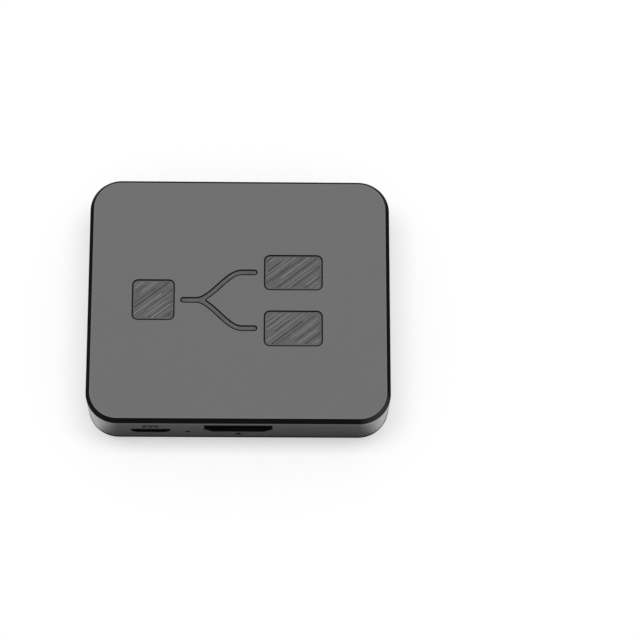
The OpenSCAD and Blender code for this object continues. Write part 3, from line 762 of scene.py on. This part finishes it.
def makeCover():
    s, c, t = caseShape, coverShape, coverTones
    top, part = s["height"], s["partHeight"]
    under = top - c["plateThickness"]
    lipOut = -(s["wall"] / 2 + s["lipGap"])
    lipLevel = part - s["lipDepth"]
    chain = roundedChain(
        [(-s["wall"], under), (-s["wall"], lipLevel), (lipOut, lipLevel), (lipOut, part),
         (0, part), (-c["bevelRun"], top), (-s["cornerRadius"], top)],
        [c["lipEdge"], c["lipEdge"], 0, c["lowEdge"], c["topEdge"]], 5)[:-1]
    rows = carry(*caseOutline(s["cornerSteps"]), chain)
    skin = Skin()
    skin.grid(rows, 1)
    cuts = [sinkMark(skin, outline, streaks, top) for outline, streaks in sunkMarks()]
    skin.flat([rows[-1][:, :2]] + cuts, atLevel(top), (0, 0, 1), 0)
    loops = [rows[0][:, :2]]
    for spot in screwSpots():
        step = c["pilotRadius"] - c["bossRadius"]
        chain = [(0, under), (0, s["boardTop"]), (step, s["boardTop"]), (step, c["pilotTop"])]
        boss = carry(*circleOutline(c["bossRadius"], spot), chain)
        skin.grid(boss, 1, flip=True)
        skin.flat([boss[-1][:, :2]], atLevel(c["pilotTop"]), (0, 0, -1), 1)
        loops.append(boss[0][:, :2])
    skin.flat(loops, atLevel(under), (0, 0, -1), 1)
    finishes = [matteGrey("coverGrey", t["top"], t["topWear"]), polishedBlack("bevelBlack"),
                streakedGrey("markFloorGrey", t["markFloor"]),
                matteGrey("streakLit", t["streakLit"]), matteGrey("streakShaded", t["streakShaded"])]
    piece = skin.build("coverShell", finishes)
    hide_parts("top_cover")


# The case: walls with their cut-outs, floor with screw wells, and small sunk signs beside the sockets

videoPort = dict(width=15.0 * mm, height=5.05 * mm, cut=1.825 * mm, radius=0.35 * mm, lip=0.12 * mm)
powerPort = dict(width=8.6 * mm, height=2.7 * mm, cut=1.16 * mm, radius=0.3 * mm, lip=0.1 * mm)
lightPort = dict(radius=0.5 * mm, lip=0.06 * mm)
signShape = dict(
    depth=0.25 * mm,
    lip=0.04 * mm,
    line=(3.6 * mm, 0.5 * mm),
    dash=(0.9 * mm, 0.6 * mm),
    dashPitch=1.35 * mm,
    lineAbove=3.75 * mm,  # from the middle of the power socket
    dashAbove=2.85 * mm,
    wedge=1.8 * mm,
    wedgeRadius=0.08 * mm,
    wedgeAside=1.6 * mm,  # left of an output's middle
    dot=0.35 * mm,
    dotAside=0.9 * mm,  # right of an output's middle
    dotPitch=1.1 * mm,
    below=4.1 * mm,  # from the middle of a video socket
)
wellShape = dict(head=2.15 * mm, depth=1.3 * mm, shank=1.05 * mm, post=2.8 * mm, lip=0.12 * mm)
caseEdge = dict(base=0.2 * mm, band=1.15 * mm, rim=0.06 * mm, innerRim=0.05 * mm, cutInside=0.1 * mm)


def portOutline(p, centre):  # wide side up, lower corners cut off
    a, b, cut = p["width"] / 2, p["height"] / 2, p["cut"]
    corners = np.array([[a, b], [-a, b], [-a, cut - b], [cut - a, -b], [a - cut, -b], [a, cut - b]])
    return roundedOutline(corners + centre, p["radius"], 6)


def strokeOutline(width, height, centre):
    return roundedOutline(rectangle(width, height, centre), min(width, height) * 0.45, 5)


def wedgeOutline(size, up, centre):  # a small triangle, pointing up or down
    a = size / 2
    corners = np.array([[a, -a * 0.8], [0, a * 0.8], [-a, -a * 0.8]])
    corners = corners if up else -corners
    return roundedOutline(corners + centre, signShape["wedgeRadius"], 4)


def wallFace(skin, ports, signs, low, high, inLow, inHigh, turned):
    s, g = caseShape, signShape
    run = s["width"] - 2 * s["cornerRadius"]
    outer, inner = -s["depth"] / 2, -s["depth"] / 2 + s["wall"]
    outside = [rectangle(run, high - low, (0, (low + high) / 2))]
    inside = [rectangle(run, inHigh - inLow, (0, (inLow + inHigh) / 2))]
    outward = (0, 1 if turned else -1, 0)
    inward = (0, -1 if turned else 1, 0)
    arc = np.linspace(0, np.pi / 2, 6)
    back = caseEdge["cutInside"]
    for outline, lip in ports:
        chain = np.concatenate([
            np.stack([lip * (1 - np.sin(arc)), outer + lip * (1 - np.cos(arc))], 1),
            np.stack([back * (1 - np.cos(arc)), inner - back * (1 - np.sin(arc))], 1)])
        ring = carry(*outline, chain)
        skin.grid(wallRows(ring[:len(arc)], turned), 0)
        # past the lip the cut-out's inside is dull black: painted shade
        skin.grid(wallRows(ring[len(arc) - 1:], turned), 1)
        outside.append(ring[0][:, :2])
        inside.append(ring[-1][:, :2])
    floorLevel = outer + g["depth"]
    soft = 0.3 * g["lip"]
    chain = [(g["lip"], outer), (soft, outer + soft), (0, outer + g["lip"]), (0, floorLevel)]
    for outline in signs:
        ring = carry(*outline, chain)
        skin.grid(wallRows(ring, turned), 1)
        skin.flat([ring[-1][:, :2]], onWall(floorLevel, turned), outward, 1)
        outside.append(ring[0][:, :2])
    skin.flat(outside, onWall(outer, turned), outward, 0)
    skin.flat(inside, onWall(inner, turned), inward, 0)


def frontFace():  # video input, power socket and light, with a wedge for in and a plain direct current sign
    g = signShape
    videoLevel = socketLevels["video"]
    powerX, powerLevel = (powerLow.x + powerHigh.x) / 2, socketLevels["power"]
    lightSpot = ((lensLow.x + lensHigh.x) / 2, (lensLow.z + lensHigh.z) / 2)
    ports = [(portOutline(videoPort, (0, videoLevel)), videoPort["lip"]),
             (portOutline(powerPort, (powerX, powerLevel)), powerPort["lip"]),
             (circleOutline(lightPort["radius"], lightSpot, 24), lightPort["lip"])]
    signs = [wedgeOutline(g["wedge"], True, (0, videoLevel - g["below"])),
             strokeOutline(*g["line"], (powerX, powerLevel + g["lineAbove"]))]
    for n in (-1, 0, 1):
        signs.append(strokeOutline(*g["dash"], (powerX + n * g["dashPitch"], powerLevel + g["dashAbove"])))
    return ports, signs


def backFace():  # two video outputs, each with a wedge for out and its number in dots
    g = signShape
    level = socketLevels["video"]
    ports, signs = [], []
    for side, dots in ((-1, (0,)), (1, (-0.5, 0.5))):
        x = side * (outputLow.x + outputHigh.x) / 2
        ports.append((portOutline(videoPort, (x, level)), videoPort["lip"]))
        signs.append(wedgeOutline(g["wedge"], False, (x - g["wedgeAside"], level - g["below"])))
        for dot in dots:
            spot = (x + g["dotAside"] + dot * g["dotPitch"], level - g["below"])
            signs.append(circleOutline(g["dot"], spot, 16))
    return ports, signs


def makeCase():
    s, e, w = caseShape, caseEdge, wellShape
    part, wall = s["partHeight"], s["wall"]
    step = part - s["lipDepth"] - s["lipGap"]
    foot = roundedChain([(-part, 0), (0, 0), (0, part)], [e["base"]], 8)[1:-1]
    over = [(0, part / 2), (0, part), (-wall / 2, part), (-wall / 2, step), (-wall, step),
            (-wall, s["floor"])]
    head = roundedChain(over, [e["rim"], e["innerRim"], 0, 0], 4)[1:]
    chain = np.concatenate([foot, [(0, e["band"])], head])
    outline, normal = caseOutline(s["cornerSteps"])
    rows = carry(outline, normal, chain)
    side, spot = np.divmod(np.arange(len(outline)), s["cornerSteps"] + 1)
    pierced = (spot == s["cornerSteps"]) & (side % 2 == 0)  # the straight runs at the back and the front
    wallRow, innerRow = len(foot), len(chain) - 2
    row = np.arange(len(chain) - 1)[:, None]
    keep = ~(pierced & ((row == wallRow) | (row == innerRow)))
    skin = Skin()
    # the foot band is dull black: painted shade along the base
    skin.grid(rows[:wallRow + 1], 1)
    skin.grid(rows[wallRow:], 0, keep=keep[wallRow:])
    for (ports, signs), turned in ((frontFace(), False), (backFace(), True)):
        wallFace(skin, ports, signs, chain[wallRow, 1], chain[wallRow + 1, 1], s["floor"], step, turned)
    under, inside = [rows[0][:, :2]], [rows[-1][:, :2]]
    arc = np.linspace(0, np.pi / 2, 5)
    lip = np.stack([w["lip"] * (1 - np.sin(arc)), w["lip"] * (1 - np.cos(arc))], 1)
    shank, post = w["shank"] - w["head"], w["post"] - w["head"]
    well = np.concatenate([lip, [(0, w["depth"]), (shank, w["depth"]), (shank, s["boardUnder"]),
                                 (post, s["boardUnder"]), (post, s["floor"])]])
    for spot in screwSpots():
        ring = carry(*circleOutline(w["head"], spot), well)
        skin.grid(ring, 2, flip=True)
        under.append(ring[0][:, :2])
        inside.append(ring[-1][:, :2])
    skin.flat(under, atLevel(0.0), (0, 0, -1), 2)
    skin.flat(inside, atLevel(s["floor"]), (0, 0, 1), 0)
    finishes = [satinBlack("caseSatin"), shadedBlack("shadeAndSignBlack"), erodedBlack("undersideBlack")]
    piece = skin.build("caseShell", finishes)
    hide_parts("bottom_case")


# The solids that stay as they are: a finish each, and a small worked edge where one would catch the light

def dressNodes():
    tin = platedSheet("tinned", (0.72, 0.72, 0.71), 0.28)
    nickel = platedSheet("socketNickel", (0.66, 0.64, 0.6), 0.2)
    insulator = mouldedBlack("insulatorBlack", 0.011, 0.25)
    chip = mouldedBlack("chipBlack", 0.018, 0.12)
    gold = goldFlash("contactGold")
    finishes = {
        "case_screws": (platedSheet("screwBlack", (0.1, 0.1, 0.105), 0.3), 0.08),
        "circuit_board": (solderMask("boardGreen"), 0),
        "power_inductor": (firedCeramic("ferriteGrey", (0.06, 0.06, 0.063)), 0.12),
        "bulk_capacitor_can": (platedSheet("canAluminium", (0.8, 0.8, 0.81), 0.24), 0.05),
        "bulk_capacitor_base": (insulator, 0.06),
        "clock_crystal": (platedSheet("crystalLid", (0.74, 0.72, 0.66), 0.22), 0.08),
        "power_light": (firedCeramic("lightCarrier", (0.74, 0.74, 0.7)), 0.05),
        "power_light_lens": (clearResin("lightLens", (0.8, 0.84, 0.88)), 0),
        "ceramic_capacitors": (firedCeramic("capacitorTan", (0.3, 0.2, 0.12)), 0.05),
        "chip_resistors": (firedCeramic("resistorBlack", (0.02, 0.02, 0.022)), 0.03),
        "component_end_caps": (tin, 0.03),
    }
    for socket in ("input", "output_1", "output_2", "power"):
        finishes[socket + "_shell"] = (nickel, 0.05)
        finishes[socket + "_insulator"] = (insulator, 0)
        finishes[socket + "_contacts"] = (gold, 0)
    for part in ("splitter_chip", "memory_chip", "voltage_regulator"):
        finishes[part] = (chip, 0.08)
        finishes[part + "_leads"] = (tin, 0)
    for name, (material, edge) in finishes.items():
        piece = nodes[name]
        for slot in piece.material_slots:
            slot.material = material
        if edge:
            weld = piece.modifiers.new("joined", "WELD")
            weld.merge_threshold = 1e-6
            worked = piece.modifiers.new("workedEdge", "BEVEL")
            worked.width = edge * mm
            worked.segments = 2
            worked.limit_method = "ANGLE"
            worked.angle_limit = math.radians(40)
    print("dressed", len(finishes), "nodes")


# Stage: a pale floor, a pale surround and one soft lamp overhead

stageShape = dict(
    floorRadius=6.0,
    floorLevel=-0.03 * mm,  # just under the case, so the two don't flicker
    floorTone=0.52,
    surround=0.5,
    lift=0.47,
    lampPlace=(0.0, 0.13, 0.9),
    lampSize=(1.0, 0.3),
    lampPower=5.6,
)


def makeStage():
    g = stageShape
    rim, _ = circleOutline(g["floorRadius"], steps=96)
    mesh = bpy.data.meshes.new("floor")
    mesh.from_pydata(atLevel(g["floorLevel"])(rim), [], [list(range(len(rim)))])
    floor = bpy.data.objects.new("floor", mesh)
    bpy.context.scene.collection.objects.link(floor)
    f = Finish("floorPale")
    tone = (g["floorTone"],) * 3
    colour = f.blend(f.noise(0.5), tone, scaled(tone, 1.02))
    glow = f.blend(f.seen(), (0, 0, 0), (1, 1, 1))
    mesh.materials.append(f.surface(baseColor=colour, roughness=0.9, specularIORLevel=0.0,
                                    emissionColor=glow, emissionStrength=g["lift"]))
    world = bpy.data.worlds.new("surround")
    sky = Graph(world)
    shade = sky.blend(sky.seen(), (g["surround"],) * 3, (1, 1, 1))
    sky.node("ShaderNodeOutputWorld", {}, {"Surface": sky.node("ShaderNodeBackground", {}, {"Color": shade})})
    bpy.context.scene.world = world
    lamp = bpy.data.lights.new("lampOverhead", "AREA")
    lamp.shape, lamp.energy = "RECTANGLE", g["lampPower"]
    lamp.size, lamp.size_y = g["lampSize"]
    hung = bpy.data.objects.new("lampOverhead", lamp)
    hung.location = g["lampPlace"]
    bpy.context.scene.collection.objects.link(hung)
    print("stage and lamp set")


# Camera: tilt, roll and distance that bring the case's outline onto the photograph's
cameraShape = dict(
    turn=(-17.64, 1.41, 0.1),
    away=(-18.22 * mm, 0.72 * mm, -565.9 * mm),
    focalPixels=2500.0,
    imagePixels=640.0,
    sensor=36.0,
)


def makeCamera():
    c = cameraShape
    ax, ay, az = (math.radians(a) for a in c["turn"])
    turn = Matrix.Rotation(ax, 3, "X") @ Matrix.Rotation(ay, 3, "Y") @ Matrix.Rotation(az, 3, "Z")
    data = bpy.data.cameras.new("photoCamera")
    data.sensor_width = c["sensor"]
    data.lens = c["focalPixels"] / c["imagePixels"] * c["sensor"]
    data.clip_start, data.clip_end = 0.01, 50
    camera = bpy.data.objects.new("photoCamera", data)
    back = turn.transposed()
    camera.matrix_world = Matrix.Translation(-(back @ Vector(c["away"]))) @ back.to_4x4()
    bpy.context.scene.collection.objects.link(camera)
    bpy.context.scene.camera = camera


makeCamera()
makeCover()
makeCase()
dressNodes()
makeStage()
bpy.context.scene.view_settings.view_transform = "Standard"
